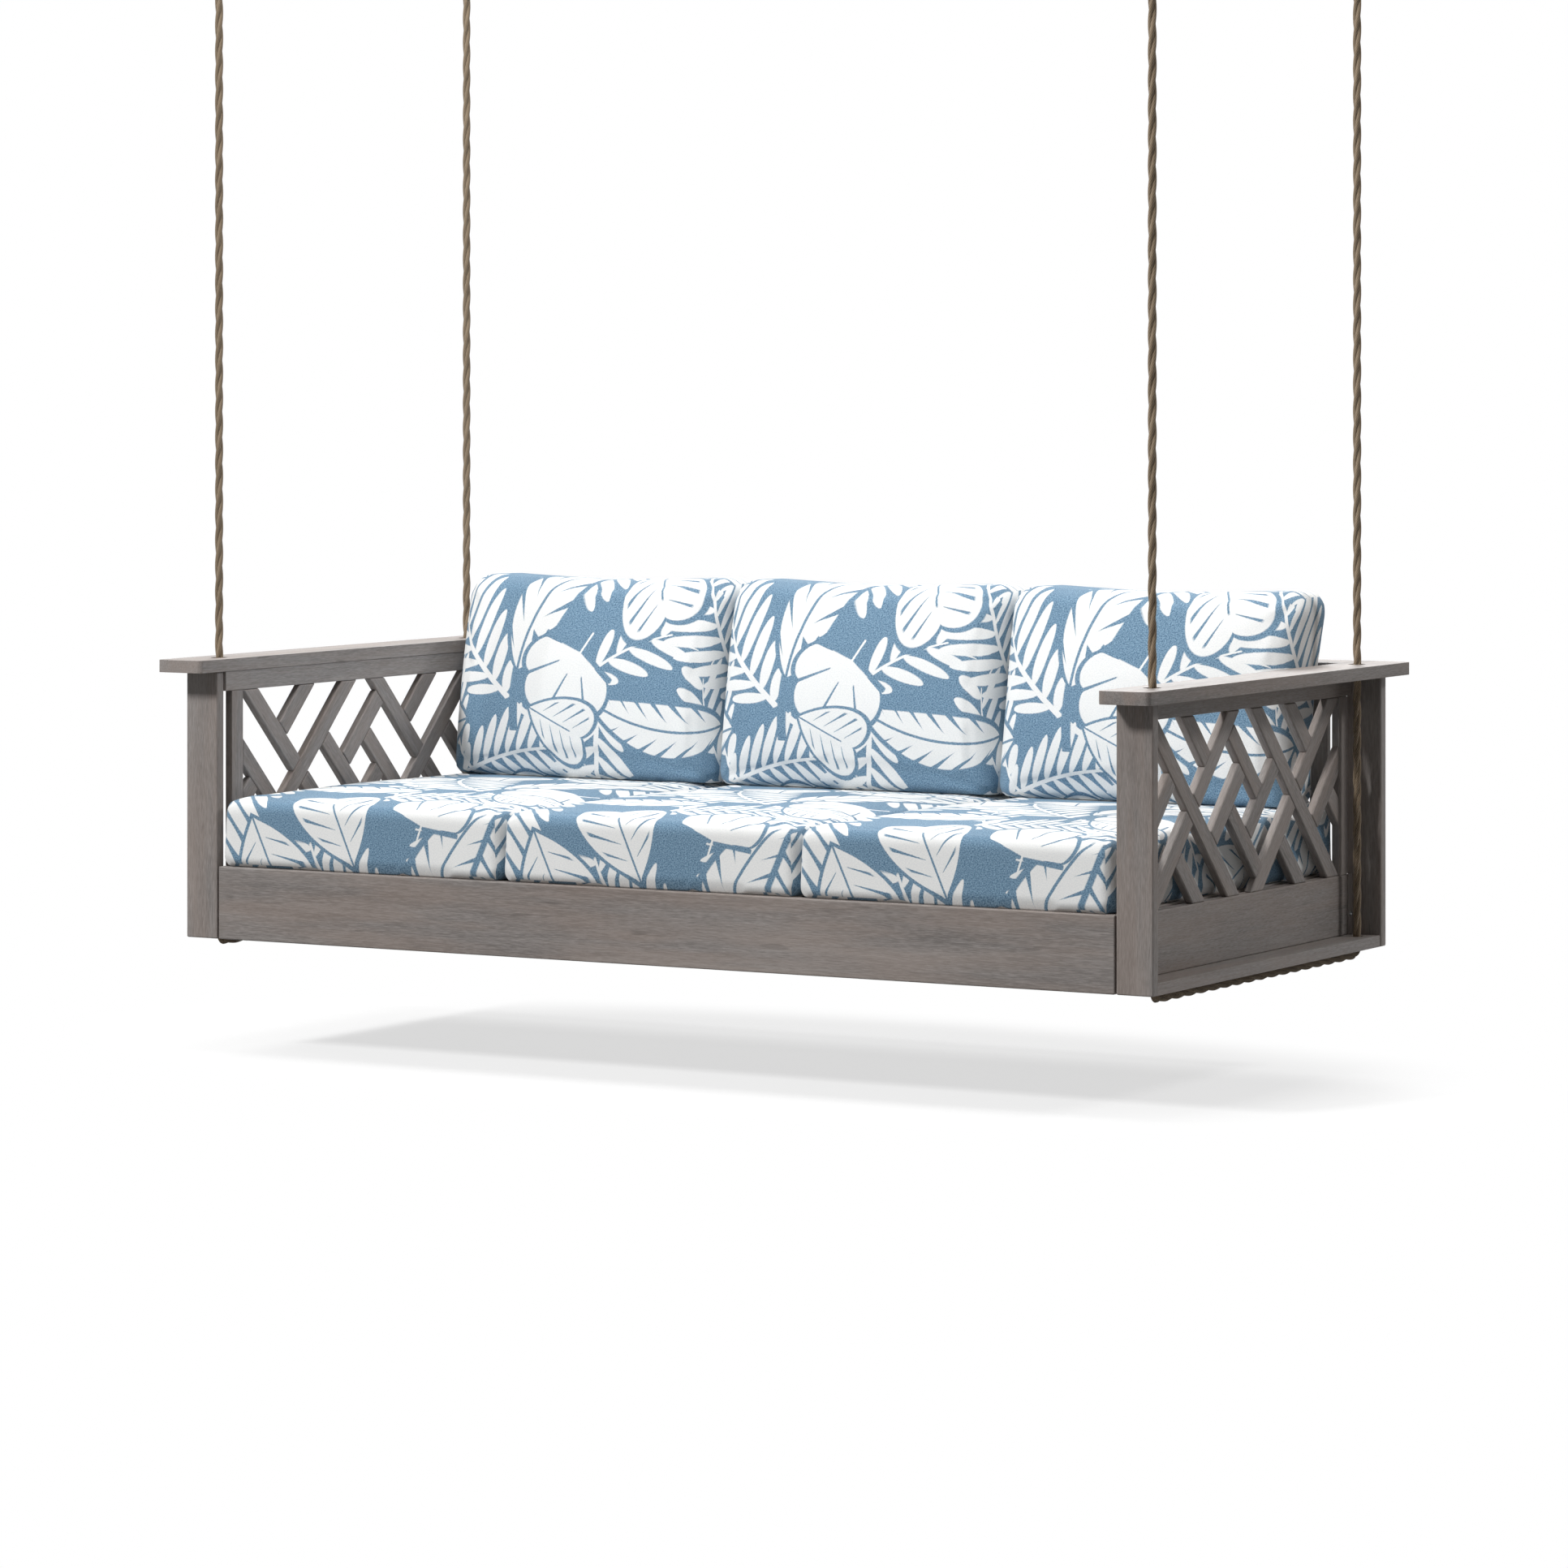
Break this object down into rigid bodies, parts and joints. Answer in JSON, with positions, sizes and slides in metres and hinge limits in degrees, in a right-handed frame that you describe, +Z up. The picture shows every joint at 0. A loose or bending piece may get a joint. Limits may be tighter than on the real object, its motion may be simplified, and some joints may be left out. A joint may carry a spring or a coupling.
{
  "type": "hanging swing bed",
  "caption": "Plank daybed hung from the ceiling on rope falls, with woven lattice arms and back, a slatted deck and loose seat and back cushions.",
  "frame": {"origin": "on the ceiling plane, midway between the four hanger studs", "axes": "+Z up, +X along the bed to the right of someone facing its open front, -Y out of the open front"},
  "size_m": [2.128, 1.131, 2.26],
  "materials": {
    "plank": "grey-brown stained board, satin, brushed along the grain",
    "cloth": "woven cushion cover, blue with white leaves",
    "rope": "tan three-strand laid rope",
    "zinc": "zinc-plated steel"
  },
  "bodies": {
    "ceiling": {"hangers": "zinc", "hanger_pins": "zinc"},
    "link_fl": {"swing_link_fl": "zinc"},
    "link_fr": {"swing_link_fr": "zinc"},
    "link_rl": {"swing_link_rl": "zinc"},
    "link_rr": {"swing_link_rr": "zinc"},
    "hang_fl": {"shackle_fl": "zinc", "thimble_fl": "zinc", "rope_eye_fl": "rope", "rope_fall_fl": "rope"},
    "hang_fr": {"shackle_fr": "zinc", "thimble_fr": "zinc", "rope_eye_fr": "rope", "rope_fall_fr": "rope"},
    "hang_rl": {"shackle_rl": "zinc", "thimble_rl": "zinc", "rope_eye_rl": "rope", "rope_fall_rl": "rope"},
    "hang_rr": {"shackle_rr": "zinc", "thimble_rr": "zinc", "rope_eye_rr": "rope", "rope_fall_rr": "rope"},
    "knuckle": {"rope_knuckle": "rope"},
    "bed": {"front_rail": "plank", "rear_rail": "plank", "inner_front_board": "plank", "inner_rear_board": "plank", "side_apron_l": "plank", "side_apron_r": "plank", "ledge_board_l": "plank", "ledge_board_r": "plank", "corner_cleats": "plank", "post_fl": "plank", "post_fr": "plank", "post_rl": "plank", "post_rr": "plank", "armrest_l": "plank", "armrest_r": "plank", "back_cap": "plank", "arm_panel_frame_l": "plank", "arm_panel_frame_r": "plank", "arm_slats_falling_l": "plank", "arm_slats_falling_r": "plank", "arm_slats_rising_l": "plank", "arm_slats_rising_r": "plank", "back_panel_frame": "plank", "back_slats_falling": "plank", "back_slats_rising": "plank", "seat_slats": "plank", "seat_ledgers": "plank", "centre_beam": "plank", "frame_screws": "zinc", "seat_cushion_l": "cloth", "seat_cushion_m": "cloth", "seat_cushion_r": "cloth", "back_cushion_l": "cloth", "back_cushion_m": "cloth", "back_cushion_r": "cloth", "sling_rope_l": "rope", "sling_rope_r": "rope"}
  },
  "joints": [
    {"name": "swing_rl", "type": "hinge", "parent": "ceiling", "child": "link_rl", "pos_m": [-1.008, 0.44, -0.034], "axis": [1, 0, 0], "range_deg": [-20, 20]},
    {"name": "sway_rl", "type": "hinge", "parent": "link_rl", "child": "hang_rl", "pos_m": [-1.008, 0.44, -0.068], "axis": [0, 1, 0], "range_deg": [-8, 8]},
    {"name": "swing_fl", "type": "hinge", "parent": "ceiling", "child": "link_fl", "pos_m": [-1.008, -0.44, -0.034], "axis": [1, 0, 0], "range_deg": [-20, 20]},
    {"name": "sway_fl", "type": "hinge", "parent": "link_fl", "child": "hang_fl", "pos_m": [-1.008, -0.44, -0.068], "axis": [0, 1, 0], "range_deg": [-8, 8]},
    {"name": "swing_fr", "type": "hinge", "parent": "ceiling", "child": "link_fr", "pos_m": [1.008, -0.44, -0.034], "axis": [1, 0, 0], "range_deg": [-20, 20]},
    {"name": "sway_fr", "type": "hinge", "parent": "link_fr", "child": "hang_fr", "pos_m": [1.008, -0.44, -0.068], "axis": [0, 1, 0], "range_deg": [-8, 8]},
    {"name": "swing_rr", "type": "hinge", "parent": "ceiling", "child": "link_rr", "pos_m": [1.008, 0.44, -0.034], "axis": [1, 0, 0], "range_deg": [-20, 20]},
    {"name": "sway_rr", "type": "hinge", "parent": "link_rr", "child": "hang_rr", "pos_m": [1.008, 0.44, -0.068], "axis": [0, 1, 0], "range_deg": [-8, 8]},
    {"name": "rope_bend_side", "type": "hinge", "parent": "hang_rl", "child": "knuckle", "pos_m": [-1.008, 0.44, -1.633], "axis": [0, 1, 0], "range_deg": [-8, 8]},
    {"name": "rope_bend_fore", "type": "hinge", "parent": "knuckle", "child": "bed", "pos_m": [-1.008, 0.44, -1.633], "axis": [1, 0, 0], "range_deg": [-20, 20]}
  ],
  "couplings": [
    {"joint": "swing_fl", "follows": "swing_rl", "ratio": 1},
    {"joint": "sway_fl", "follows": "sway_rl", "ratio": 1},
    {"joint": "swing_fr", "follows": "swing_rl", "ratio": 1},
    {"joint": "sway_fr", "follows": "sway_rl", "ratio": 1},
    {"joint": "swing_rr", "follows": "swing_rl", "ratio": 1},
    {"joint": "sway_rr", "follows": "sway_rl", "ratio": 1},
    {"joint": "rope_bend_side", "follows": "sway_rl", "ratio": -1},
    {"joint": "rope_bend_fore", "follows": "swing_rl", "ratio": -1}
  ]
}
